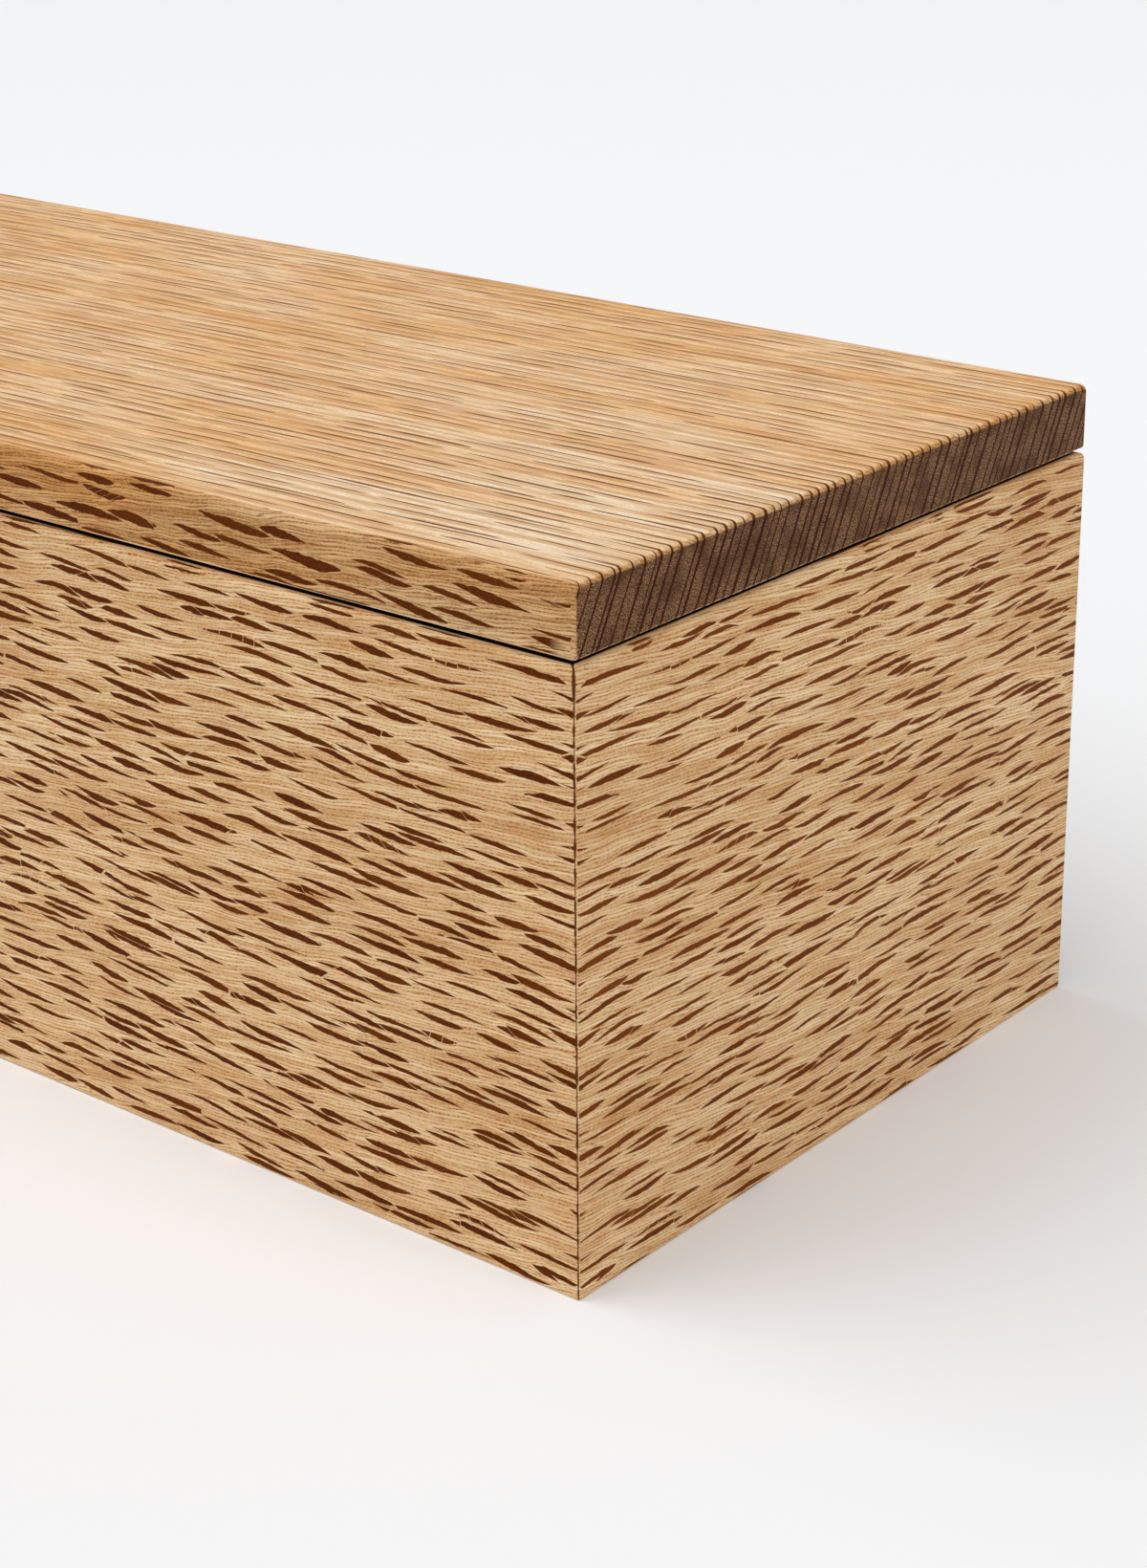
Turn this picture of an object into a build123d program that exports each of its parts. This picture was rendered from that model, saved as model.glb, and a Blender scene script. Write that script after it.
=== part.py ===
"""Keepsake box with a sliding lid, in solid hardwood. Millimetres.

The box stands on XY with the origin at the middle of its footprint. X runs along its length, +X towards
the closed end, and Z is up. Four walls meet in mitres held by hidden splines, round a bottom panel that
floats in a groove. The lid is one board of the box's own outline. Three battens are screwed under it, and
their dovetailed ends slide in a slot cut along the inside of the rim. The slot runs out through the open
end, at -X, so the lid slides off that way. At the other end it stops against the closed end wall.
"""

from build123d import *
import math
import os

# ---------------------------------------------------------------- driving dimensions
# outside
LENGTH = 300.0  # of the walls and of the lid, along X
WIDTH = 124.0  # of the walls and of the lid, along Y
BODY_HEIGHT = 90.0  # table to rim
WALL = 9.0  # thickness of all four walls
LID_THICKNESS = 10.0
SHADOW_GAP = 0.8  # open line between the rim and the underside of the lid

# eased edges, rounded with sandpaper
CORNER_EASE = 0.5  # upright corners of the walls, along the mitres
RIM_EASE = 0.9  # outer edge of the rim
BASE_EASE = 0.5  # outer edge that meets the table
INSIDE_EASE = 0.4  # inner edges of the rim and of the ledge, and the edges of the notch at the open end
LID_TOP_EASE = 1.1
LID_UNDER_EASE = 0.5
LID_CORNER_EASE = 1.0

# dovetail slot for the lid
SLOT_DEPTH = 7.0  # rim down to the ledge that carries the battens
LEDGE = 4.5  # width of that ledge, inner wall face to the foot of the slot
DOVETAIL_ANGLE = 14.0  # lean of the slot's sides, degrees from upright
SLIDE_CLEARANCE = 0.25  # sideways, between a batten's end and the slot

# battens and their screws
BATTEN_WIDTH = 18.0  # along X
BATTEN_SET_BACK = 1.0  # the open end's batten inside the end of the box, to keep the shadow line
BATTEN_EASE = 0.5  # long lower edges
SCREW_END_DISTANCE = 15.0  # outer screws from the inner wall face, along Y
SCREW_BITE = 6.0  # thread held in the lid
SCREW_SHANK_DIAMETER = 3.0
SCREW_THREAD_DIAMETER = 2.6
SCREW_HEAD_DIAMETER = 6.0
SCREW_HEAD_ANGLE = 90.0  # across the countersunk cone, degrees
SCREW_HEAD_SUNK = 0.3  # head below the batten's face
SCREW_TIP_LENGTH = 2.0
SCREW_DRIVE_WIDTH = 0.8
SCREW_DRIVE_DEPTH = 0.7
SCREW_CLEARANCE = 0.05  # radial, all round the screw
SEASONAL_PLAY = 1.0  # each way that the outer screws may move in the battens

# bottom panel
PANEL_THICKNESS = 6.0
PANEL_RAISED = 4.0  # underside above the table
TONGUE_THICKNESS = 3.0
GROOVE_DEPTH = 4.5  # into the walls
GROOVE_HEIGHT_PLAY = 0.2  # above the tongue
GROOVE_END_PLAY = 0.5  # past the tongue, so that the panel can swell
PANEL_EDGE_GAP = 0.4  # panel's raised field to the walls
PANEL_EDGE_EASE = 0.5

# hidden splines in the mitres
SPLINE_THICKNESS = 3.0
SPLINE_COVER = 2.0  # wood left between a spline's slot and either face of a wall
SPLINE_BELOW_LEDGE = 5.0
SPLINE_ABOVE_GROOVE = 4.0
SPLINE_SIDE_CLEARANCE = 0.05
SPLINE_END_CLEARANCE = 0.5

# ---------------------------------------------------------------- worked-out sizes
OVERCUT = 2.0  # how far a cutter runs past the face that it opens
NEAR = 1e-3  # two places closer than this are one place
HALF_LENGTH = LENGTH / 2
HALF_WIDTH = WIDTH / 2
INNER_HALF_LENGTH = HALF_LENGTH - WALL
INNER_HALF_WIDTH = HALF_WIDTH - WALL

LEDGE_Z = BODY_HEIGHT - SLOT_DEPTH
SLOT_LEAN = math.tan(math.radians(DOVETAIL_ANGLE))  # sideways run for each unit of height
SLOT_FOOT_HALF = INNER_HALF_WIDTH + LEDGE
LID_Z = BODY_HEIGHT + SHADOW_GAP
BATTEN_HEIGHT = LID_Z - LEDGE_Z

GROOVE_TOP = PANEL_RAISED + TONGUE_THICKNESS + GROOVE_HEIGHT_PLAY
TONGUE_REACH = GROOVE_DEPTH - GROOVE_END_PLAY

SPLINE_HALF_WIDTH = math.sqrt(2) * (WALL - 2 * SPLINE_COVER) - SPLINE_THICKNESS
SPLINE_INSET = math.sqrt(2) * SPLINE_COVER + SPLINE_THICKNESS / 2  # along the mitre, from the inner corner
SPLINE_FOOT = GROOVE_TOP + SPLINE_ABOVE_GROOVE
SPLINE_HEAD = LEDGE_Z - SPLINE_BELOW_LEDGE

SCREW_LENGTH = BATTEN_HEIGHT - SCREW_HEAD_SUNK + SCREW_BITE
SCREW_HEAD_OVERHANG = (SCREW_HEAD_DIAMETER - SCREW_SHANK_DIAMETER) / 2
SCREW_CONE_HEIGHT = SCREW_HEAD_OVERHANG / math.tan(math.radians(SCREW_HEAD_ANGLE / 2))
SCREW_OUTER_Y = INNER_HALF_WIDTH - SCREW_END_DISTANCE
SCREW_ROW_Y = {"front": -SCREW_OUTER_Y, "middle": 0.0, "back": SCREW_OUTER_Y}

# middle of each batten along X: one against the closed end wall, one filling the notch at the open end
BATTEN_X = {
    "closed_end": INNER_HALF_LENGTH - BATTEN_WIDTH / 2,
    "middle": 0.0,
    "open_end": -HALF_LENGTH + BATTEN_SET_BACK + BATTEN_WIDTH / 2,
}
# sign of X and of Y at each corner
CORNERS = {
    "front_closed": (1, -1),
    "back_closed": (1, 1),
    "front_open": (-1, -1),
    "back_open": (-1, 1),
}


# ---------------------------------------------------------------- shared shapes
def span_box(x, y, z):
    """A box between the two ends given along each axis."""
    size = [high - low for low, high in (x, y, z)]
    middle = [(high + low) / 2 for low, high in (x, y, z)]
    return Pos(*middle) * Box(*size)


def eased_block(length, width, height, corner_radius, top_radius, bottom_radius):
    """A block standing on XY with rounded upright corners, then a rounded top and bottom edge."""
    block = extrude(RectangleRounded(length, width, corner_radius), height)
    block = fillet(block.edges().group_by(Axis.Z)[-1], top_radius)
    return fillet(block.edges().group_by(Axis.Z)[0], bottom_radius)


def dovetail_half_width(z, clearance=0.0):
    """Half the slot's width at height z, or that of a batten held clear of it."""
    return SLOT_FOOT_HALF - (z - LEDGE_Z) * SLOT_LEAN - clearance


def batten_section():
    """The dovetailed end view of a batten, from the ledge up to the lid."""
    foot = dovetail_half_width(LEDGE_Z, SLIDE_CLEARANCE)
    head = dovetail_half_width(LID_Z, SLIDE_CLEARANCE)
    outline = Polyline((-foot, LEDGE_Z), (foot, LEDGE_Z), (head, LID_Z), (-head, LID_Z), close=True)
    return Plane.YZ * make_face(outline)


def ease_corners(section, places):
    """The section with INSIDE_EASE at each of the given corners."""
    corners = [
        vertex
        for vertex in section.vertices()
        if any(abs(vertex.X - x) < NEAR and abs(vertex.Y - y) < NEAR for x, y in places)
    ]
    return fillet(corners, INSIDE_EASE)


def slot_section(with_well):
    """The space inside the rim, seen from the end: the dovetail slot, and the well under it where asked."""
    foot = dovetail_half_width(LEDGE_Z)
    mouth = dovetail_half_width(BODY_HEIGHT)
    rim = BODY_HEIGHT
    section = make_face(Polyline((-foot, LEDGE_Z), (foot, LEDGE_Z), (mouth, rim), (-mouth, rim), close=True))
    section += Pos(0, rim + OVERCUT / 2) * Rectangle(2 * (mouth + OVERCUT), OVERCUT)
    eased = [(-mouth, rim), (mouth, rim)]
    if with_well:
        section += Pos(0, LEDGE_Z / 2) * Rectangle(2 * INNER_HALF_WIDTH, LEDGE_Z)
        eased += [(-INNER_HALF_WIDTH, LEDGE_Z), (INNER_HALF_WIDTH, LEDGE_Z)]
    return Plane.YZ * ease_corners(section, eased)


def well_side():
    """The same space seen from the front, between the end walls, with the closed end's rim eased."""
    section = Pos(0, BODY_HEIGHT / 2) * Rectangle(2 * INNER_HALF_LENGTH, BODY_HEIGHT)
    over_rim = Rectangle(2 * INNER_HALF_LENGTH + OVERCUT, OVERCUT)
    section += Pos(OVERCUT / 2, BODY_HEIGHT + OVERCUT / 2) * over_rim
    return Plane.XZ * ease_corners(section, [(INNER_HALF_LENGTH, BODY_HEIGHT)])


def along_x(section, start, end):
    """A section drawn on YZ, extruded from one place along X to another."""
    return Pos(start, 0, 0) * extrude(section, end - start, dir=(1, 0, 0))


# ---------------------------------------------------------------- walls
def spline_solid(corner, clearance=0.0, end_clearance=0.0):
    """The spline at a corner, across its mitre, or the slot for it where clearances are given."""
    sign_x, sign_y = CORNERS[corner]
    reach = SPLINE_INSET / math.sqrt(2)
    middle_z = (SPLINE_FOOT + SPLINE_HEAD) / 2
    place = Pos(sign_x * (INNER_HALF_LENGTH + reach), sign_y * (INNER_HALF_WIDTH + reach), middle_z)
    turned = Rot(0, 0, math.degrees(math.atan2(sign_y, sign_x)))
    return place * turned * Box(
        SPLINE_THICKNESS + 2 * clearance,
        2 * (SPLINE_HALF_WIDTH + clearance),
        SPLINE_HEAD - SPLINE_FOOT + 2 * end_clearance,
    )


def walled_box():
    """The four walls before they are parted, with well, lid slot, panel groove and spline slots."""
    block = eased_block(LENGTH, WIDTH, BODY_HEIGHT, CORNER_EASE, RIM_EASE, BASE_EASE)
    well = along_x(slot_section(with_well=True), -INNER_HALF_LENGTH, INNER_HALF_LENGTH + OVERCUT)
    block -= well & extrude(well_side(), HALF_WIDTH, both=True)
    block -= along_x(slot_section(with_well=False), -HALF_LENGTH - OVERCUT, -INNER_HALF_LENGTH)
    groove_x = INNER_HALF_LENGTH + GROOVE_DEPTH
    groove_y = INNER_HALF_WIDTH + GROOVE_DEPTH
    block -= span_box((-groove_x, groove_x), (-groove_y, groove_y), (PANEL_RAISED, GROOVE_TOP))
    for corner in CORNERS:
        block -= spline_solid(corner, SPLINE_SIDE_CLEARANCE, SPLINE_END_CLEARANCE)
    return block


def wall_plan(outer_start, outer_end, inner_end, inner_start):
    """A wall's mitred outline in plan, extruded to the height of the box."""
    outline = Polyline(outer_start, outer_end, inner_end, inner_start, close=True)
    return extrude(make_face(outline), BODY_HEIGHT)


def walls():
    """Each wall as its share of the walled box, parted along the mitres."""
    box = walled_box()
    plans = {
        "front_wall": ((-1, -1), (1, -1)),
        "back_wall": ((1, 1), (-1, 1)),
        "closed_end_wall": ((1, -1), (1, 1)),
        "open_end_wall": ((-1, 1), (-1, -1)),
    }
    parted = {}
    for name, (start, end) in plans.items():
        outer = [(x * HALF_LENGTH, y * HALF_WIDTH) for x, y in (start, end)]
        inner = [(x * INNER_HALF_LENGTH, y * INNER_HALF_WIDTH) for x, y in (end, start)]
        parted[name] = box & wall_plan(*outer, *inner)
    along_notch = parted["open_end_wall"].edges().filter_by(Axis.Y)
    floor_edges = along_notch.filter_by_position(Axis.Z, LEDGE_Z - NEAR, LEDGE_Z + NEAR)
    parted["open_end_wall"] = fillet(floor_edges, INSIDE_EASE)
    return parted


# ---------------------------------------------------------------- bottom panel
def bottom_panel():
    """The panel: a field that fills the well, on a thinner tongue that reaches into the grooves."""
    field = eased_block(
        2 * (INNER_HALF_LENGTH - PANEL_EDGE_GAP),
        2 * (INNER_HALF_WIDTH - PANEL_EDGE_GAP),
        PANEL_THICKNESS,
        PANEL_EDGE_EASE,
        PANEL_EDGE_EASE,
        PANEL_EDGE_EASE,
    )
    tongue_x = INNER_HALF_LENGTH + TONGUE_REACH
    tongue_y = INNER_HALF_WIDTH + TONGUE_REACH
    tongue = span_box((-tongue_x, tongue_x), (-tongue_y, tongue_y), (0, TONGUE_THICKNESS))
    return Pos(0, 0, PANEL_RAISED) * (field + tongue)


# ---------------------------------------------------------------- lid
def screw_outline(clearance=0.0):
    """Half of a countersunk screw's section, head down at z = 0 and tip up."""
    shank = SCREW_SHANK_DIAMETER / 2 + clearance
    head = SCREW_HEAD_DIAMETER / 2 + clearance
    thread = SCREW_THREAD_DIAMETER / 2 + clearance
    thread_start = SCREW_LENGTH - SCREW_BITE
    points = [
        (0, 0),
        (head, 0),
        (shank, SCREW_CONE_HEIGHT),
        (shank, thread_start),
        (thread, thread_start),
        (thread, SCREW_LENGTH - SCREW_TIP_LENGTH),
        (0, SCREW_LENGTH),
    ]
    return Plane.XZ * make_face(Polyline(*points, close=True))


def screw(clearance=0.0):
    """A countersunk screw, or the space that it fills in the wood where a clearance is given."""
    return revolve(screw_outline(clearance), Axis.Z)


def driven_screw():
    """The screw with the cut for its driver across the head."""
    cut = span_box(
        (-SCREW_HEAD_DIAMETER, SCREW_HEAD_DIAMETER),
        (-SCREW_DRIVE_WIDTH / 2, SCREW_DRIVE_WIDTH / 2),
        (-OVERCUT, SCREW_DRIVE_DEPTH),
    )
    return screw() - cut


def screw_place(batten, row):
    """Where a screw's head sits, just inside the batten's underside."""
    return Pos(BATTEN_X[batten], SCREW_ROW_Y[row], LEDGE_Z + SCREW_HEAD_SUNK)


def head_well():
    """Half of the section of the short well above a sunk screw head, which reaches down past z = 0."""
    radius = SCREW_HEAD_DIAMETER / 2 + SCREW_CLEARANCE
    return Plane.XZ * (Pos(radius / 2, -SCREW_HEAD_SUNK / 2) * Rectangle(radius, SCREW_HEAD_SUNK))


def batten_hole(row):
    """The hole for a screw through a batten. The outer ones are slots along Y, so that the lid can swell."""
    section = screw_outline(SCREW_CLEARANCE) + head_well()
    hole = revolve(section, Axis.Z)
    if row == "middle":
        return hole
    slot = extrude(section + mirror(section, Plane.YZ), SEASONAL_PLAY, both=True)
    return slot + Pos(0, SEASONAL_PLAY, 0) * hole + Pos(0, -SEASONAL_PLAY, 0) * hole


def batten(name):
    """One batten, dovetailed at both ends, with its long lower edges eased and its three screw holes."""
    middle = BATTEN_X[name]
    solid = along_x(batten_section(), middle - BATTEN_WIDTH / 2, middle + BATTEN_WIDTH / 2)
    solid = fillet(solid.edges().filter_by(Axis.Y).group_by(Axis.Z)[0], BATTEN_EASE)
    for row in SCREW_ROW_Y:
        solid -= screw_place(name, row) * batten_hole(row)
    return solid


def lid_board():
    """The lid, with a pilot hole for each screw in its underside."""
    board = Pos(0, 0, LID_Z) * eased_block(
        LENGTH, WIDTH, LID_THICKNESS, LID_CORNER_EASE, LID_TOP_EASE, LID_UNDER_EASE
    )
    for name in BATTEN_X:
        for row in SCREW_ROW_Y:
            board -= screw_place(name, row) * screw(SCREW_CLEARANCE)
    return board


# ---------------------------------------------------------------- the whole box
def all_parts():
    parts = walls()
    parts["bottom_panel"] = bottom_panel()
    for corner in CORNERS:
        parts[f"mitre_spline_{corner}"] = spline_solid(corner)
    parts["lid_board"] = lid_board()
    for name in BATTEN_X:
        parts[f"lid_batten_{name}"] = batten(name)
    screws = [screw_place(name, row) * driven_screw() for name in BATTEN_X for row in SCREW_ROW_Y]
    parts["lid_screws"] = Compound(children=screws)
    return parts


os.makedirs("parts", exist_ok=True)
for node, shape in all_parts().items():
    export_step(shape, f"parts/{node}.step")
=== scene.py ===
"""Sliding lid box in oiled lacewood: the finish of boards and screws, the floor, light and camera."""

import math

import bmesh
import bpy
from mathutils import Matrix, Vector


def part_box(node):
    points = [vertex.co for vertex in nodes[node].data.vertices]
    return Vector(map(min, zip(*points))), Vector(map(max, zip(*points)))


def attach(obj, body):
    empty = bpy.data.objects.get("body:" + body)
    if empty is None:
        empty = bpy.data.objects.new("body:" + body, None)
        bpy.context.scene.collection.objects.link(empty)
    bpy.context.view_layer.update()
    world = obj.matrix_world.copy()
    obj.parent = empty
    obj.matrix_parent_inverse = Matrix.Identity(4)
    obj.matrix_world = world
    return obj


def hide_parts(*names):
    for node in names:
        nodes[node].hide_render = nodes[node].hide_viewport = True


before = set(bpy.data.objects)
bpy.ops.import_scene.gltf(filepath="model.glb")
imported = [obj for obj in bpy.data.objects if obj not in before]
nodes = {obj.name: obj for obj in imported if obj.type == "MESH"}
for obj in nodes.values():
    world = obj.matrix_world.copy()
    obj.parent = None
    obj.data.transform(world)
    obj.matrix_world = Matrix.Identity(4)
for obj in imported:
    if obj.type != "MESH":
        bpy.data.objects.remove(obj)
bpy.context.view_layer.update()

MM = 0.001
PER_MM = 1 / MM
BOX_LOW, BOX_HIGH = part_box("front_wall")
RIM = BOX_HIGH.z  # m, top of the walls
CORNER = Vector((BOX_HIGH.x, BOX_LOW.y, 0)) * PER_MM  # mm, the corner where the front meets the closed end

# -------------------------------------------------------------------------------------------------- helpers

# places of the sockets of a Mix node: how much of the second shows, two numbers and two colours
SHARE = 0
FIRST_NUMBER, SECOND_NUMBER = 2, 3
UNDER, OVER = 6, 7


def linear(hex_colour):
    """An sRGB hex colour such as "c8a070" as linear red, green, blue and alpha."""
    channels = [int(hex_colour[i : i + 2], 16) / 255 for i in (0, 2, 4)]
    return [c / 12.92 if c <= 0.04045 else ((c + 0.055) / 1.055) ** 2.4 for c in channels] + [1.0]


def add(tree, kind, inputs=(), **settings):
    """Adds one node with its settings, fills its inputs by place or by name, and gives its first output."""
    node = tree.nodes.new(kind)
    for name, value in settings.items():
        setattr(node, name, value)
    for key, value in inputs.items() if isinstance(inputs, dict) else enumerate(inputs):
        if isinstance(value, bpy.types.NodeSocket):
            tree.links.new(value, node.inputs[key])
        else:
            node.inputs[key].default_value = value
    return next((socket for socket in node.outputs if socket.enabled), None)


def new_group(name, inputs, outputs, kind="ShaderNodeTree"):
    """An empty group with its sockets named and typed, and the outputs of its input node."""
    tree = bpy.data.node_groups.new(name, kind)
    for side, sockets in (("INPUT", inputs), ("OUTPUT", outputs)):
        for socket_name, kind in sockets.items():
            tree.interface.new_socket(socket_name, in_out=side, socket_type="NodeSocket" + kind)
    return tree, tree.nodes.new("NodeGroupInput").outputs


def cleared(holder):
    """The node tree of a new material or world, with nothing in it."""
    holder.use_nodes = True
    holder.node_tree.nodes.clear()
    return holder.node_tree


def put(name, data):
    """A new object in the scene."""
    item = bpy.data.objects.new(name, data)
    bpy.context.scene.collection.objects.link(item)
    return item


# --------------------------------------------------------------------------------------------- wood pattern
# Board coordinates are in mm: X runs along the grain, Y along the rays, from heart to bark, Z across them.
# X is 0 at the corner where the front meets the closed end, and negative along the boards that meet there.

WANDER = 34.0  # mm over which the rows of rays drift
WANDER_ALONG = 4.0  # mm of drift along the grain
WANDER_BY = 0.6  # mm of drift across the rays
KINK = 7.0  # mm over which one ray bends
KINK_BY = 0.15  # mm
STRAY_OVER = 160.0  # mm from the corner, over which matched boards come to differ
MATCHED_TO = -0.9  # runs of a ray from the corner, past which they differ ray by ray as well
STAGGER = 0.4  # of a ray's run, from one row to the next
SCATTER = 0.66  # how loosely the rays keep to their grid, from 0 to 1
NUDGE = 0.2  # of a cell, over which the middle of its ray is scattered further
CELL_EDGE = 0.008, 0.022  # of a cell, the ground that stays clear between two rays
LENS_POWER = 0.85  # below 1, a ray is blunter than a parabola
FLECK_EDGE = 0.016  # mm, softness of a ray's edge
RAGGED = 1.5  # mm, length of the small nicks in that edge
RAGGED_BY = 0.16  # share of the ray's thickness
CRACK = 0.055  # mm, half the width of the pale gap that splits some rays
TAIL_OFF = 0.05  # mm, how far a ray is out of line on each side of its gap
CHAINED = 0.975  # chance above which a ray is a chain of short pieces
CHAIN = 1.1  # mm, half the way from one gap to the next in a chain
UNCHAINED = 40.0  # mm, the same for any other ray, so that only its first gap falls on it
PUSH_OVER = 0.75  # of a row, how far from a ray the fibres still part round it

# each ray has four throws of three chances; a throw is the noise at the ray's own place, shifted by so much
THROWS = (0.0, 0.0, 0.0), (31.0, 2.0, 14.0), (5.0, 17.0, 9.0), (17.0, 5.0, 3.0)
CHAIN_CHANCE, TONE_CHANCE = 5, 11
RAY_TRAITS = {
    # which of the twelve chances, its least and its most
    "half length": (0, 0.32, 0.61),  # of a run
    "thickness": (1, 0.5, 1.05),  # of the usual
    "gap slant": (4, -5.0, 5.0),  # mm along the ray for each mm across it
    "skew": (6, -0.55, 0.55),  # how much thicker one end is than the other
    "hook": (7, -0.04, 0.18),  # mm, how its ends turn up or down
    "bow": (8, -0.15, 0.15),  # mm
    "tilt": (9, -0.18, -0.02),  # mm
    "gap place": (10, -6.0, 6.0),  # in half lengths; past 1 the gap misses the ray
}

END_ROW = 1.9  # mm, from one ray to the next on end grain
END_HALF = 0.24  # mm, half the thickness of a ray there
END_SIZES = 0.5, 1.3  # of that, for the thinnest and the thickest
END_SCATTER = 0.6
END_SOFT = 0.03  # mm, softness of the edge of such a ray
END_REACH = 2.0, 14.0  # mm that a row runs in from the board's end, at least and at most
DASH = 17.0  # mm along the grain, about one dash of such a row and its gap on a flat-sawn face
DASH_SHIFT = 7.3  # dashes, from one row to the next
DASH_SPAN = 0.43, 0.60  # of the noise, from where a dash begins to where it has its full thickness
INNER = 1.0, 4.0  # mm in from a board's end, over which the flecks take over from the rows


def among_rays(tree, board, stray):
    """Where a point of the board lies among its rays, whose rows wander and which each bend a little."""
    # boards matched at a corner differ more and more away from it
    start = add(tree, "ShaderNodeSeparateXYZ", [board]).node.outputs["X"]
    start = add(tree, "ShaderNodeMath", [start], operation="ABSOLUTE")
    differ = add(tree, "ShaderNodeMapRange", {"Value": start, "From Min": 0.0, "From Max": STRAY_OVER})
    differ = add(tree, "ShaderNodeMath", [differ, stray], operation="MULTIPLY")
    differ = add(tree, "ShaderNodeCombineXYZ", [0.0, 0.0, differ])
    moved = board
    sways = (
        # how fast it changes per mm, its shift, its detail, and how far it moves the rays, in mm
        ((1 / WANDER, 0.5 / WANDER, 1.6 / WANDER), differ, 1.0, (2 * WANDER_ALONG, 0.0, 2 * WANDER_BY)),
        ((1 / KINK, 0.2 / KINK, 1.2 / KINK), (0.0, 0.0, 0.0), 2.5, (0.0, 0.0, 2 * KINK_BY)),
    )
    for pace, shift, detail, reach in sways:
        at = add(tree, "ShaderNodeVectorMath", [board, pace], operation="MULTIPLY")
        at = add(tree, "ShaderNodeVectorMath", [at, shift], operation="ADD")
        sway = {"Vector": at, "Scale": 1.0, "Detail": detail}
        sway = add(tree, "ShaderNodeTexNoise", sway).node.outputs["Color"]
        sway = add(tree, "ShaderNodeVectorMath", [sway, (0.5, 0.5, 0.5)], operation="SUBTRACT")
        sway = add(tree, "ShaderNodeVectorMath", [sway, reach], operation="MULTIPLY")
        moved = add(tree, "ShaderNodeVectorMath", [moved, sway], operation="ADD")
    return moved


def staggered(tree, place, by):
    """Shifts each row of the rays' grid along, by a share of a run for each row."""
    rank = add(tree, "ShaderNodeSeparateXYZ", [place]).node.outputs["Y"]
    rank = add(tree, "ShaderNodeMath", [rank, by], operation="MULTIPLY")
    rank = add(tree, "ShaderNodeCombineXYZ", [rank, 0.0, 0.0])
    return add(tree, "ShaderNodeVectorMath", [place, rank], operation="ADD")


def ray_cell(tree, given, along, across):
    """One ray to each cell of a loose grid: how far it is, in mm, its chances, how far the next cell is."""
    step = add(tree, "ShaderNodeCombineXYZ", [given["Run"], given["Row"], 1.0])
    place = add(tree, "ShaderNodeCombineXYZ", [along, across, 0.0])
    place = add(tree, "ShaderNodeVectorMath", [place, step], operation="DIVIDE")
    place = staggered(tree, place, STAGGER)
    grid = {"Vector": place, "Scale": 1.0, "Randomness": SCATTER}
    cell = add(tree, "ShaderNodeTexVoronoi", grid, voronoi_dimensions="2D").node.outputs
    edge = add(tree, "ShaderNodeTexVoronoi", grid, voronoi_dimensions="2D", feature="DISTANCE_TO_EDGE")
    own = add(tree, "ShaderNodeSeparateXYZ", [cell["Position"]]).node.outputs["X"]
    own = add(tree, "ShaderNodeMath", [own, MATCHED_TO], operation="LESS_THAN")
    own = add(tree, "ShaderNodeMath", [own, given["Stray"]], operation="MULTIPLY")
    own = add(tree, "ShaderNodeCombineXYZ", [own, own, own])
    own = add(tree, "ShaderNodeVectorMath", [cell["Position"], own], operation="ADD")
    chances = []
    for shift in THROWS:
        throw = add(tree, "ShaderNodeVectorMath", [own, shift], operation="ADD")
        throw = add(tree, "ShaderNodeTexWhiteNoise", [throw]).node.outputs["Color"]
        chances.extend(add(tree, "ShaderNodeSeparateColor", [throw]).node.outputs)
    away = add(tree, "ShaderNodeVectorMath", [place, cell["Position"]], operation="SUBTRACT")
    away = staggered(tree, away, -STAGGER)
    away = add(tree, "ShaderNodeVectorMath", [away, step], operation="MULTIPLY")
    nudge = add(tree, "ShaderNodeTexWhiteNoise", [own], noise_dimensions="2D").node.outputs["Color"]
    nudge = add(tree, "ShaderNodeVectorMath", [nudge, (0.5, 0.5, 0.5)], operation="SUBTRACT")
    nudge = add(tree, "ShaderNodeVectorMath", [nudge, step], operation="MULTIPLY")
    nudge = add(tree, "ShaderNodeVectorMath", [nudge, (NUDGE, NUDGE, 0.0)], operation="MULTIPLY")
    away = add(tree, "ShaderNodeVectorMath", [away, nudge], operation="ADD")
    return add(tree, "ShaderNodeSeparateXYZ", [away]).node.outputs, chances, edge


def gap_share(tree, away, trait, reach, chance):
    """Slanting pale gaps that break some rays: 0 in a gap and 1 elsewhere, and the side a point is on."""
    where = add(tree, "ShaderNodeMath", [trait["gap place"], reach], operation="MULTIPLY")
    gap = add(tree, "ShaderNodeMath", [away["X"], where], operation="SUBTRACT")
    gap = add(tree, "ShaderNodeMath", [away["Y"], trait["gap slant"], gap], operation="MULTIPLY_ADD")
    side = add(tree, "ShaderNodeMath", [gap], operation="SIGN")
    every = add(tree, "ShaderNodeMath", [chance, CHAINED], operation="GREATER_THAN")
    every = add(tree, "ShaderNodeMapRange", [every, 0.0, 1.0, UNCHAINED, CHAIN])
    gap = add(tree, "ShaderNodeMath", [gap, every], operation="PINGPONG")
    soft = {"Value": gap, "From Min": 0.4 * CRACK, "From Max": 1.6 * CRACK}
    return add(tree, "ShaderNodeMapRange", soft, interpolation_type="SMOOTHSTEP"), side


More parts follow.
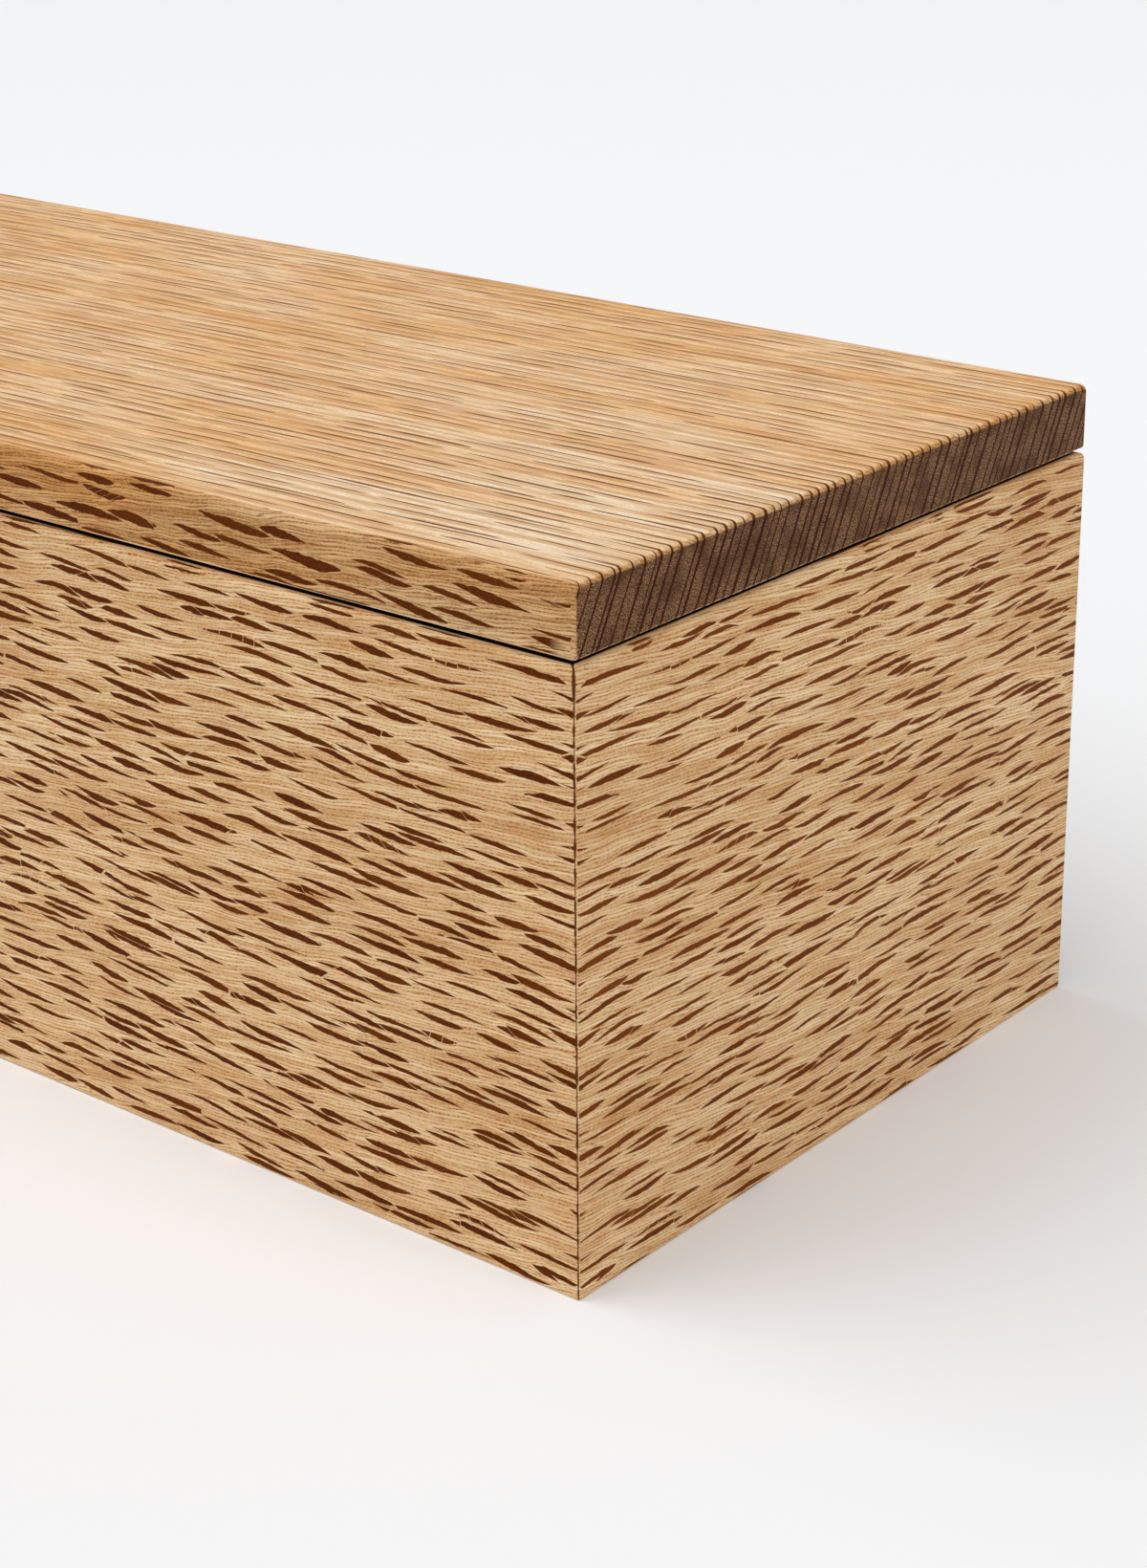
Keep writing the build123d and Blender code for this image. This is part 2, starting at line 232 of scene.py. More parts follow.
def lens_rays(tree, given, along, across):
    """The dark flecks of a quartersawn face: the fleck itself, how it pushes the fibres, and its tone."""
    away, chances, edge = ray_cell(tree, given, along, across)
    trait = {}
    for name, (number, least, most) in RAY_TRAITS.items():
        trait[name] = add(tree, "ShaderNodeMapRange", [chances[number], 0.0, 1.0, least, most])
    reach = add(tree, "ShaderNodeMath", [trait["half length"], given["Run"]], operation="MULTIPLY")
    half = add(tree, "ShaderNodeMath", [trait["thickness"], given["Thick"]], operation="MULTIPLY")
    half = add(tree, "ShaderNodeMath", [half, given["Show"]], operation="MULTIPLY")
    # s runs from -1 at one end of the ray to 1 at the other
    s = add(tree, "ShaderNodeMath", [away["X"], reach], operation="DIVIDE")
    lens = add(tree, "ShaderNodeMath", [s, s], operation="MULTIPLY")
    lens = add(tree, "ShaderNodeMath", [1.0, lens], operation="SUBTRACT")
    lens = add(tree, "ShaderNodeMath", [lens, 0.0], operation="MAXIMUM")
    lens = add(tree, "ShaderNodeMath", [lens, LENS_POWER], operation="POWER")
    skew = add(tree, "ShaderNodeMath", [s, trait["skew"], 1.0], operation="MULTIPLY_ADD")
    lens = add(tree, "ShaderNodeMath", [lens, skew], operation="MULTIPLY")
    swell = add(tree, "ShaderNodeMath", [lens, half], operation="MULTIPLY")
    unbroken, side = gap_share(tree, away, trait, reach, chances[CHAIN_CHANCE])
    # its middle line is tilted, bowed and hooked, and steps a little at the gap
    line = add(tree, "ShaderNodeMath", [s, trait["hook"], trait["bow"]], operation="MULTIPLY_ADD")
    line = add(tree, "ShaderNodeMath", [s, line, trait["tilt"]], operation="MULTIPLY_ADD")
    line = add(tree, "ShaderNodeMath", [s, line], operation="MULTIPLY")
    line = add(tree, "ShaderNodeMath", [side, TAIL_OFF, line], operation="MULTIPLY_ADD")
    off = add(tree, "ShaderNodeMath", [away["Y"], line], operation="SUBTRACT")
    clear = add(tree, "ShaderNodeMath", [off], operation="ABSOLUTE")
    # its edge is nicked by the fibres
    pace = (1 / RAGGED, 3 / RAGGED, 3 / RAGGED)
    nicks = add(tree, "ShaderNodeVectorMath", [given["Board"], pace], operation="MULTIPLY")
    nicks = add(tree, "ShaderNodeTexNoise", {"Vector": nicks, "Scale": 1.0, "Detail": 1.0})
    nicks = add(tree, "ShaderNodeMapRange", [nicks, 0.3, 0.7, 1 - RAGGED_BY, 1 + RAGGED_BY])
    nicked = add(tree, "ShaderNodeMath", [swell, nicks], operation="MULTIPLY")
    depth = add(tree, "ShaderNodeMath", [nicked, clear], operation="SUBTRACT")
    soft = {"Value": depth, "From Min": -FLECK_EDGE, "From Max": FLECK_EDGE}
    ray = add(tree, "ShaderNodeMapRange", soft, interpolation_type="SMOOTHSTEP")
    ray = add(tree, "ShaderNodeMath", [ray, unbroken], operation="MULTIPLY")
    soft = {"Value": edge, "From Min": CELL_EDGE[0], "From Max": CELL_EDGE[1]}
    lone = add(tree, "ShaderNodeMapRange", soft, interpolation_type="SMOOTHSTEP")
    ray = add(tree, "ShaderNodeMath", [ray, lone], operation="MULTIPLY")
    # the fibres part round it
    near = add(tree, "ShaderNodeMath", [clear, given["Row"]], operation="DIVIDE")
    near = add(tree, "ShaderNodeMapRange", [near, 0.0, PUSH_OVER, 1.0, 0.0])
    push = add(tree, "ShaderNodeMath", [off], operation="SIGN")
    push = add(tree, "ShaderNodeMath", [push, near], operation="MULTIPLY")
    push = add(tree, "ShaderNodeMath", [push, swell], operation="MULTIPLY")
    return ray, push, chances[TONE_CHANCE]


def row_rays(tree, given, along, across):
    """Rays that a face cuts on edge: even rows in from a board's end, and thin dashes on a flat-sawn face.

    Gives the rays, and how far across its row a point lies."""
    rank = add(tree, "ShaderNodeMath", [across, END_ROW], operation="DIVIDE")
    grid = {"W": rank, "Scale": 1.0, "Randomness": END_SCATTER}
    cell = add(tree, "ShaderNodeTexVoronoi", grid, voronoi_dimensions="1D").node.outputs
    chance = {"W": cell["W"]}
    chance = add(tree, "ShaderNodeTexWhiteNoise", chance, noise_dimensions="1D").node.outputs["Color"]
    chance = add(tree, "ShaderNodeSeparateColor", [chance]).node.outputs
    reach = add(tree, "ShaderNodeMapRange", [chance[0], 0.0, 1.0, *END_REACH])
    taper = add(tree, "ShaderNodeMath", [given["Inset"], reach], operation="DIVIDE")
    taper = add(tree, "ShaderNodeMath", [1.0, taper], operation="SUBTRACT")
    taper = add(tree, "ShaderNodeMath", [taper, 0.0], operation="MAXIMUM")
    dash = add(tree, "ShaderNodeMath", [along, DASH], operation="DIVIDE")
    dash = add(tree, "ShaderNodeMath", [cell["W"], DASH_SHIFT, dash], operation="MULTIPLY_ADD")
    dash = add(tree, "ShaderNodeTexNoise", {"W": dash, "Scale": 1.0, "Detail": 1.0}, noise_dimensions="1D")
    dash = add(tree, "ShaderNodeMapRange", [dash, *DASH_SPAN, 0.0, 1.0])
    dash = add(tree, "ShaderNodeMath", [dash, given["Flat"]], operation="MULTIPLY")
    taper = add(tree, "ShaderNodeMath", [taper, dash], operation="MAXIMUM")
    taper = add(tree, "ShaderNodeMath", [taper], operation="SQRT")
    thin, full = (size * END_HALF for size in END_SIZES)
    half = add(tree, "ShaderNodeMapRange", [chance[1], 0.0, 1.0, thin, full])
    half = add(tree, "ShaderNodeMath", [half, taper], operation="MULTIPLY")
    half = add(tree, "ShaderNodeMath", [half, given["Show"]], operation="MULTIPLY")
    depth = add(tree, "ShaderNodeMath", [cell["Distance"], -END_ROW, half], operation="MULTIPLY_ADD")
    soft = {"Value": depth, "From Min": -END_SOFT, "From Max": END_SOFT}
    row = add(tree, "ShaderNodeMapRange", soft, interpolation_type="SMOOTHSTEP")
    return row, add(tree, "ShaderNodeMath", [rank, cell["W"]], operation="SUBTRACT")


def ray_group():
    """Medullary rays: thin sheets that stand along the grain, lens-shaped on a quartersawn face."""
    sizes = "Run", "Row", "Thick", "Slope", "Stray", "Inset", "Show", "Flat"
    sockets = {"Board": "Vector", **{name: "Float" for name in sizes}}
    results = {name: "Float" for name in ("Ray", "Push", "Tone", "Side")}
    tree, given = new_group("lacewood_rays", sockets, results)
    at = among_rays(tree, given["Board"], given["Stray"])
    at = add(tree, "ShaderNodeSeparateXYZ", [at]).node.outputs
    across = add(tree, "ShaderNodeMath", [at["X"], given["Slope"], at["Z"]], operation="MULTIPLY_ADD")
    ray, push, tone = lens_rays(tree, given, at["X"], across)
    row, side = row_rays(tree, given, at["X"], across)
    # the lens-shaped flecks give way to the rows at a board's end and on a flat-sawn face
    broad = add(tree, "ShaderNodeMath", [1.0, given["Flat"]], operation="SUBTRACT")
    ray = add(tree, "ShaderNodeMath", [ray, broad], operation="MULTIPLY")
    push = add(tree, "ShaderNodeMath", [push, broad], operation="MULTIPLY")
    inner = add(tree, "ShaderNodeMapRange", [given["Inset"], *INNER])
    ray = add(tree, "ShaderNodeMath", [ray, inner], operation="MULTIPLY")
    ray = add(tree, "ShaderNodeMath", [ray, row], operation="MAXIMUM")
    add(tree, "NodeGroupOutput", {"Ray": ray, "Push": push, "Tone": tone, "Side": side})
    return tree


RAY_LEAN = math.radians(28)  # how far the rays lean inward from upright
FIBRE_RISE = -0.095  # mm per mm, how the fibres climb along the board
SWAY = (1 / 11, 1 / 16, 1 / 5)  # per mm, how fast the fibres sway
SWAY_BY = 0.75  # mm
BEND = (1 / 14, 1 / 1.1, 1 / 4)  # per mm, how fast the bands of pores waver
BEND_BY = 9.0  # radians of a band's own wave
BAND = 0.5  # mm, from one fine tangential band of pores to the next
HAIR = 0.3  # mm, width of the finest streaks
PATTERNS = {
    # size in mm along the grain, along the rays and across them, and detail
    "Line": ((20, 0.8, 3), 2.0),  # growth lines
    "Hair": ((7, HAIR, HAIR), 2.0),
    "Pore": ((0.38, 0.24, 0.24), 0.0),
    "Grain": ((0.45, 0.2, 0.2), 1.0),  # short pale fibres that sanding leaves
    "Cloud": ((46, 13, 9), 2.0),  # broad changes of tone
    "Blotch": ((9, 4, 4), 3.0),  # where the oil went deeper
    "Mottle": ((16, 0.5, 0.5), 2.0),  # of the end grain
    "Speck": ((5, 0.17, 0.17), 0.0),  # cut pores of the end grain
    "Streak": ((26, 6, 0.8), 3.0),  # tan streaks of a flat-sawn face
}


def fibre_group():
    """Fine growth lines and pores of the ground between the rays, which part round each ray."""
    results = {name: "Float" for name in ("Band", *PATTERNS)}
    tree, given = new_group("lacewood_fibres", {"Board": "Vector", "Push": "Float"}, results)
    board = given["Board"]
    part = add(tree, "ShaderNodeSeparateXYZ", [board]).node.outputs
    sway = add(tree, "ShaderNodeVectorMath", [board, SWAY], operation="MULTIPLY")
    sway = add(tree, "ShaderNodeTexNoise", {"Vector": sway, "Scale": 1.0, "Detail": 1.0})
    sway = add(tree, "ShaderNodeMapRange", [sway, 0.0, 1.0, -SWAY_BY, SWAY_BY])
    height = add(tree, "ShaderNodeMath", [part["X"], FIBRE_RISE, part["Y"]], operation="MULTIPLY_ADD")
    height = add(tree, "ShaderNodeMath", [height, sway], operation="ADD")
    lift = -1 / math.tan(RAY_LEAN)
    height = add(tree, "ShaderNodeMath", [given["Push"], lift, height], operation="MULTIPLY_ADD")
    flow = add(tree, "ShaderNodeCombineXYZ", [part["X"], height, part["Z"]])
    bend = add(tree, "ShaderNodeVectorMath", [flow, BEND], operation="MULTIPLY")
    bend = add(tree, "ShaderNodeTexNoise", {"Vector": bend, "Scale": 1.0, "Detail": 2.0})
    phase = add(tree, "ShaderNodeMath", [height, 2 * math.pi / BAND], operation="MULTIPLY")
    phase = add(tree, "ShaderNodeMath", [bend, BEND_BY, phase], operation="MULTIPLY_ADD")
    made = {"Band": add(tree, "ShaderNodeMath", [phase], operation="SINE")}
    for name, (size, detail) in PATTERNS.items():
        at = add(tree, "ShaderNodeVectorMath", [flow, [1 / span for span in size]], operation="MULTIPLY")
        made[name] = add(tree, "ShaderNodeTexNoise", {"Vector": at, "Scale": 1.0, "Detail": detail})
    add(tree, "NodeGroupOutput", made)
    return tree


# ------------------------------------------------------------------------------------------------ materials


def board_place(along, inward, shift):
    """Mapping settings from Object coordinates to one board's own, in mm, with its rays leaning inward."""
    up = Vector((0, 0, 1))
    along, inward = Vector(along), Vector(inward)
    rays = inward * math.sin(RAY_LEAN) + up * math.cos(RAY_LEAN)
    across = up * math.sin(RAY_LEAN) - inward * math.cos(RAY_LEAN)
    rows = Matrix((along, rays, across))
    place = Vector(shift) - rows @ CORNER
    hand = 1 if rows.determinant() > 0 else -1
    turn = (rows @ Matrix.Diagonal((1, 1, hand))).to_euler("XYZ")
    return {"Location": place, "Rotation": turn, "Scale": (PER_MM, PER_MM, PER_MM * hand)}


GLUE_SPOTS = 1.6 * MM  # m, over which the glue line comes and goes
GLUE_WIDTH = 0.1, 0.34  # mm, at least and at most
GLUE_TOP = RIM - 5 * MM, RIM - 1.5 * MM  # m, where it opens a little towards the rim
GLUE_TOP_MORE = 0.09  # mm wider there


def mitre_line(tree, where):
    """How much of the thin dark glue line of the four mitres shows, 0 to 1."""
    size = add(tree, "ShaderNodeVectorMath", [where], operation="ABSOLUTE")
    size = add(tree, "ShaderNodeSeparateXYZ", [size]).node.outputs
    inset = (BOX_HIGH.x + BOX_LOW.y) * PER_MM
    gap = add(tree, "ShaderNodeMath", [size["X"], size["Y"]], operation="SUBTRACT")
    gap = add(tree, "ShaderNodeMath", [gap, PER_MM, -inset], operation="MULTIPLY_ADD")
    gap = add(tree, "ShaderNodeMath", [gap], operation="ABSOLUTE")
    spots = add(tree, "ShaderNodeTexNoise", {"Vector": where, "Scale": 1 / GLUE_SPOTS, "Detail": 2.0})
    width = add(tree, "ShaderNodeMapRange", [spots, 0.4, 0.66, *GLUE_WIDTH])
    more = add(tree, "ShaderNodeSeparateXYZ", [where]).node.outputs["Z"]
    more = {"Value": more, "From Min": GLUE_TOP[0], "From Max": GLUE_TOP[1], "To Max": GLUE_TOP_MORE}
    more = add(tree, "ShaderNodeMapRange", more)
    width = add(tree, "ShaderNodeMath", [width, more], operation="ADD")
    share = add(tree, "ShaderNodeMath", [gap, width], operation="DIVIDE")
    soft = {"Value": share, "From Min": 0.5, "From Max": 1.3, "To Min": 1.0, "To Max": 0.0}
    return add(tree, "ShaderNodeMapRange", soft, interpolation_type="SMOOTHSTEP")


SHADE_FROM, SHADE_TO = 0.8, 2.4  # mm in from the outside, between which the rim is painted near black as shade under the lid
SHADE_SOFT = 0.3  # mm, softness of the edge of that painted shade
RIM_PLAY = 0.3 * MM  # m, how far from the rim's height a face still counts as the rim


def shadow_line(tree, where, facing):
    """Painted shade: the rim is coloured near black just inside its edge, so the gap under the lid reads as a
    black line.
    """
    up = add(tree, "ShaderNodeSeparateXYZ", [facing]).node.outputs["Z"]
    level = add(tree, "ShaderNodeMapRange", {"Value": up, "From Min": 0.8, "From Max": 0.98})
    height = add(tree, "ShaderNodeSeparateXYZ", [where]).node.outputs["Z"]
    near = add(tree, "ShaderNodeMath", [height, RIM, RIM_PLAY], operation="COMPARE")
    size = add(tree, "ShaderNodeVectorMath", [where], operation="ABSOLUTE")
    size = add(tree, "ShaderNodeVectorMath", [size, (BOX_HIGH.x, -BOX_LOW.y, 0.0)], operation="SUBTRACT")
    size = add(tree, "ShaderNodeSeparateXYZ", [size]).node.outputs
    inset = add(tree, "ShaderNodeMath", [size["X"], size["Y"]], operation="MAXIMUM")
    inset = add(tree, "ShaderNodeMath", [inset, -PER_MM], operation="MULTIPLY")
    off = add(tree, "ShaderNodeMath", [inset, (SHADE_FROM + SHADE_TO) / 2], operation="SUBTRACT")
    off = add(tree, "ShaderNodeMath", [off], operation="ABSOLUTE")
    half = (SHADE_TO - SHADE_FROM) / 2
    soft = {"Value": off, "From Min": half, "From Max": half - SHADE_SOFT}
    band = add(tree, "ShaderNodeMapRange", soft, interpolation_type="SMOOTHSTEP")
    band = add(tree, "ShaderNodeMath", [band, near], operation="MULTIPLY")
    return add(tree, "ShaderNodeMath", [band, level], operation="MULTIPLY")


# how squarely a face meets the grain, the rays or what lies across them, where each look begins and is full
END_FACE = 0.82, 0.97
FLAT_FACE = 0.55, 0.85
FLECK_FACE = 0.5, 0.85
RAY_PLANE = 0.99, 0.9  # a face nearer than this to the rays' own plane, as on an eased edge, shows none
END_TURN = 0.38, 0.25  # nor does an edge that turns from the flecks to the end grain
EDGE_ON_THICK = 0.23  # mm, half the thickness of a ray where the face meets it on edge
FAR_FROM, FAR_TO = 20.0, 125.0  # mm from the corner, over which the lid's clouds deepen and the dashes of rays grow paler
FAR_SHARE = 0.5  # how far the tone changes there
SIDE_SHARE = 0.22  # how much the streaks of a flat-sawn face follow the rows of rays
STREAK_SPAN = 0.42, 0.62  # of the streaks' noise, from the pale ground to the tan
STREAK_SHARE = 0.8
CLOUD_SPAN = 0.40, 0.66
BAND_SHARE = 0.62  # of its own colour that a band of pores shows
SHARES = {
    # pattern, where it begins to show, where it is full, and how much of its colour then shows
    "hairs": ("Hair", 0.42, 0.70, 0.5),
    "sanded grain": ("Grain", 0.46, 0.64, 0.6),
    "bands": ("Band", -0.1, 0.8, 1.0),
    "pores": ("Pore", 0.46, 0.60, 0.9),
    "blotches": ("Blotch", 0.52, 0.74, 0.35),
    "hairs in a ray": ("Hair", 0.45, 0.75, 0.5),
    "dust in a ray": ("Grain", 0.50, 0.68, 0.35),
    "end mottle": ("Mottle", 0.36, 0.62, 1.0),
    "end bands": ("Band", 0.0, 0.8, 0.7),
    "end specks": ("Speck", 0.54, 0.66, 0.85),
    "end blotches": ("Blotch", 0.44, 0.62, 0.55),
}
TINTS = "cloud", "blotch"  # colours that darken what is under them, as a thin stain does
PROUD = 0.04 * MM  # m, height that the relief is measured by
OIL_IOR = 1.46
OIL_SHEEN = 0.03  # low, because the oil has sunk in and dried
RAYS_SMOOTHER = 0.1  # how much less rough a ray is than the ground


def lacewood(name, place, rays, fibres, look, mitred, end_rows):
    """Quartersawn lacewood, planed, sanded and oiled: dark ray flecks on a pale ground of fine tan lines.

    The oil leaves a low sheen, and it deepens the flecks and the end grain."""
    material = bpy.data.materials.new(name)
    tree = cleared(material)
    object_at = add(tree, "ShaderNodeTexCoord").node.outputs
    where, facing = object_at["Object"], object_at["Normal"]
    inset = 1000.0  # mm, so far from an end that the end's rows don't show
    if end_rows:
        inset = add(tree, "ShaderNodeSeparateXYZ", [where]).node.outputs["X"]
        inset = add(tree, "ShaderNodeMath", [inset], operation="ABSOLUTE")
        inset = add(tree, "ShaderNodeMath", [inset, -PER_MM, BOX_HIGH.x * PER_MM], operation="MULTIPLY_ADD")
    board = add(tree, "ShaderNodeMapping", {"Vector": where, **place})
    # how the face cuts the board: X is 1 on end grain, Y on a flat-sawn face, Z in the rays' own plane
    turn = {"Vector": facing, "Rotation": place["Rotation"], "Scale": Vector(place["Scale"]) * MM}
    cut = add(tree, "ShaderNodeMapping", turn)
    cut = add(tree, "ShaderNodeVectorMath", [cut], operation="ABSOLUTE")
    cut = add(tree, "ShaderNodeSeparateXYZ", [cut]).node.outputs
    faces = []
    for value, (begins, full) in ((cut["Y"], FLAT_FACE), (cut["X"], END_FACE)):
        soft = {"Value": value, "From Min": begins, "From Max": full}
        faces.append(add(tree, "ShaderNodeMapRange", soft, interpolation_type="SMOOTHSTEP"))
    flat_sawn, end_grain = faces
    thick = add(tree, "ShaderNodeMapRange", [cut["Z"], *FLECK_FACE, EDGE_ON_THICK, look["figure"]["Thick"]])
    steep = add(tree, "ShaderNodeMapRange", [cut["Z"], *RAY_PLANE])
    turned = add(tree, "ShaderNodeMath", [cut["X"], cut["Z"]], operation="MULTIPLY")
    turned = add(tree, "ShaderNodeMapRange", [turned, *END_TURN])
    show = add(tree, "ShaderNodeMath", [steep, turned], operation="MULTIPLY")
    figure = dict(look["figure"], Board=board, Thick=thick, Inset=inset, Show=show, Flat=flat_sawn)
    figure = add(tree, "ShaderNodeGroup", figure, node_tree=rays).node.outputs
    ground = {"Board": board, "Push": figure["Push"]}
    ground = add(tree, "ShaderNodeGroup", ground, node_tree=fibres).node.outputs

    share = {}
    for pattern_name, (pattern, begins, full, most) in SHARES.items():
        share[pattern_name] = add(tree, "ShaderNodeMapRange", [ground[pattern], begins, full, 0.0, most])
    # the streaks of a flat-sawn face run beside its rows of rays
    beside = [figure["Side"], SIDE_SHARE, ground["Streak"]]
    beside = add(tree, "ShaderNodeMath", beside, operation="MULTIPLY_ADD")
    streaks = {SHARE: flat_sawn, FIRST_NUMBER: ground["Line"], SECOND_NUMBER: beside}
    streaks = add(tree, "ShaderNodeMix", streaks, data_type="FLOAT")
    streaks = add(tree, "ShaderNodeMapRange", [streaks, *STREAK_SPAN, 0.0, STREAK_SHARE])
    # bands of pores show on all but flat-sawn faces, and unevenly
    uneven = add(tree, "ShaderNodeMapRange", [ground["Hair"], 0.36, 0.60, 0.45, 1.0])
    bands = add(tree, "ShaderNodeMath", [share["bands"], uneven], operation="MULTIPLY")
    not_flat = add(tree, "ShaderNodeMath", [1.0, flat_sawn], operation="SUBTRACT")
    bands = add(tree, "ShaderNodeMath", [bands, not_flat], operation="MULTIPLY")
    pores = add(tree, "ShaderNodeMath", [bands, share["pores"]], operation="MULTIPLY")
    bands = add(tree, "ShaderNodeMath", [bands, BAND_SHARE], operation="MULTIPLY")
    # away from the near corner the lid's clouds deepen and the ray dashes grow paler
    far = add(tree, "ShaderNodeVectorMath", [where, (PER_MM, PER_MM, 0.0)], operation="MULTIPLY")
    far = add(tree, "ShaderNodeVectorMath", [far, CORNER], operation="DISTANCE").node.outputs["Value"]
    far = {"Value": far, "From Min": FAR_FROM, "From Max": FAR_TO, "To Max": FAR_SHARE}
    far = add(tree, "ShaderNodeMapRange", far, interpolation_type="SMOOTHSTEP")
    clouds = add(tree, "ShaderNodeMapRange", [ground["Cloud"], *CLOUD_SPAN, 0.0, look["cloud"]])
    if end_rows:
        clouds = add(tree, "ShaderNodeMath", [clouds, far], operation="ADD")
    mitre = mitre_line(tree, where) if mitred else 0.0
    layers = (
        # what it makes, how much of the upper colour shows, the lower colour and the upper colour
        ("pale here", flat_sawn, "pale", "pale_flat"),
        ("tan here", flat_sawn, "tan", "tan_flat"),
        ("wood", streaks, "pale here", "tan here"),
        ("wood", share["hairs"], "wood", "tan here"),
        ("wood", share["sanded grain"], "wood", "pale"),
        ("wood", bands, "wood", "band"),
        ("wood", pores, "wood", "pore"),
        ("wood", clouds, "wood", "cloud"),
        ("wood", share["blotches"], "wood", "blotch"),
        ("ray", figure["Tone"], "fleck", "fleck_light"),
        ("ray", share["hairs in a ray"], "ray", "fleck_light"),
        ("ray", share["dust in a ray"], "ray", "fleck_dust"),
        ("dash", far, "fleck_flat", "fleck_far"),
        ("ray", flat_sawn, "ray", "dash"),
        ("wood", figure["Ray"], "wood", "ray"),
        ("end grain", share["end mottle"], "end_dark", "end"),
        ("end grain", share["end bands"], "end grain", "end_dark"),
        ("end grain", share["end specks"], "end grain", "end_speck"),
        ("end grain", share["end blotches"], "end grain", "end_dark"),
        ("end grain", figure["Ray"], "end grain", "end_ray"),
        ("wood", end_grain, "wood", "end grain"),
        ("wood", mitre, "wood", "glue"),
        # painted shade on the rim, where the gap under the lid is
        ("wood", shadow_line(tree, where, facing), "wood", "shadow"),
    )
    paint = {key: linear(value) for key, value in look["colours"].items()}
    for made, amount, lower, upper in layers:
        sides = {SHARE: amount, UNDER: paint[lower], OVER: paint[upper]}
        blend = "MULTIPLY" if upper in TINTS else "MIX"
        paint[made] = add(tree, "ShaderNodeMix", sides, data_type="RGBA", blend_type=blend)
    # the sanded surface: rays stand a hair proud, pores are sunk
    relief = 0.0
    for pattern, height in ((ground["Band"], -0.12), (figure["Ray"], 0.35), (ground["Pore"], -0.6)):
        relief = add(tree, "ShaderNodeMath", [pattern, height, relief], operation="MULTIPLY_ADD")
    bump = add(tree, "ShaderNodeBump", {"Strength": 0.25, "Distance": PROUD, "Height": relief})
    smooth = look["rough"] - RAYS_SMOOTHER
    rough = add(tree, "ShaderNodeMapRange", [figure["Ray"], 0.0, 1.0, look["rough"], smooth])
    shader = {"Base Color": paint["wood"], "Roughness": rough, "Normal": bump}
    shader.update({"IOR": OIL_IOR, "Specular IOR Level": OIL_SHEEN})
    shader = add(tree, "ShaderNodeBsdfPrincipled", shader)
    add(tree, "ShaderNodeOutputMaterial", [shader])
    return material


# sRGB; names with flat are for flat-sawn faces, and those with end for end grain
WALL_COLOURS = {
    "pale": "edd1a6",
    "tan": "ca9b64",
    "pale_flat": "f0d9ba",
    "tan_flat": "e0b687",
    "band": "c28d54",
    "pore": "a4622a",
    "cloud": "e6d4c0",
    "blotch": "e8cba6",
    "fleck": "4e1e00",
    "fleck_light": "5e2c02",
    "fleck_dust": "85491c",
    "fleck_flat": "6e3d14",
    "fleck_far": "a2703c",
    "end": "765137",
    "end_dark": "402314",
    "end_speck": "ae8a62",
    "end_ray": "3a1404",
    "glue": "5a2f0f",
    # near black, painted shade on the rim under the lid
    "shadow": "120a05",
}
LID_COLOURS = dict(WALL_COLOURS, pale="dcbb8f", tan="a47644", pore="7c4a1c", cloud="f5dcb8")
LID_COLOURS.update(blotch="f2dcbc", pale_flat="fbe6c8", tan_flat="cb9963", band="96622e")
# Run and Row are the way from one ray to the next, along the grain and across it, and Thick is half a ray's
# thickness, all in mm. Slope is in mm per mm, and Stray is how far a board strays from the one that it meets.
WALL_FIGURE = {"Run": 12.4, "Row": 0.97, "Thick": 0.25, "Slope": 0.014, "Stray": 0.0}
END_FIGURE = dict(WALL_FIGURE, Run=12.8, Thick=0.22, Slope=-0.012, Stray=3.0)
LID_FIGURE = {"Run": 13.0, "Row": 1.2, "Thick": 0.34, "Slope": 0.02, "Stray": 0.0}
WALL_LOOK = {"figure": WALL_FIGURE, "colours": WALL_COLOURS, "rough": 0.5, "cloud": 0.5}
END_COLOURS = dict(WALL_COLOURS, fleck="612b02", fleck_light="723a0c")
END_LOOK = {"figure": END_FIGURE, "colours": END_COLOURS, "rough": 0.5, "cloud": 0.5}
LID_LOOK = {"figure": LID_FIGURE, "colours": LID_COLOURS, "rough": 0.45, "cloud": 0.66}

X_AXIS, Y_AXIS = (1, 0, 0), (0, 1, 0)
TO_LEFT, TO_FRONT = (-1, 0, 0), (0, -1, 0)

# node: grain direction, inward direction, shift of its pattern in mm, look, whether its ends are mitred
BOARDS = {
    "front_wall": (X_AXIS, Y_AXIS, (0, 0, 0), WALL_LOOK, True),
    "closed_end_wall": (TO_FRONT, TO_LEFT, (0, 0, 0), END_LOOK, True),
    "back_wall": (X_AXIS, TO_FRONT, (410, 0, 55), WALL_LOOK, True),
    "open_end_wall": (Y_AXIS, X_AXIS, (830, 0, 170), WALL_LOOK, True),
    "lid_board": (X_AXIS, Y_AXIS, (1230, 40, 310), LID_LOOK, False),
    "bottom_panel": (X_AXIS, Y_AXIS, (1710, 90, 520), LID_LOOK, False),
    "lid_batten_closed_end": (Y_AXIS, X_AXIS, (2130, 20, 640), WALL_LOOK, False),
    "lid_batten_middle": (Y_AXIS, X_AXIS, (2540, 60, 710), WALL_LOOK, False),
    "lid_batten_open_end": (Y_AXIS, X_AXIS, (2950, 10, 820), WALL_LOOK, False),
    "mitre_spline_front_closed": (X_AXIS, Y_AXIS, (3310, 0, 900), WALL_LOOK, False),
    "mitre_spline_back_closed": (X_AXIS, Y_AXIS, (3420, 0, 930), WALL_LOOK, False),
    "mitre_spline_front_open": (X_AXIS, Y_AXIS, (3530, 0, 960), WALL_LOOK, False),
    "mitre_spline_back_open": (X_AXIS, Y_AXIS, (3640, 0, 990), WALL_LOOK, False),
}
rays, fibres = ray_group(), fibre_group()
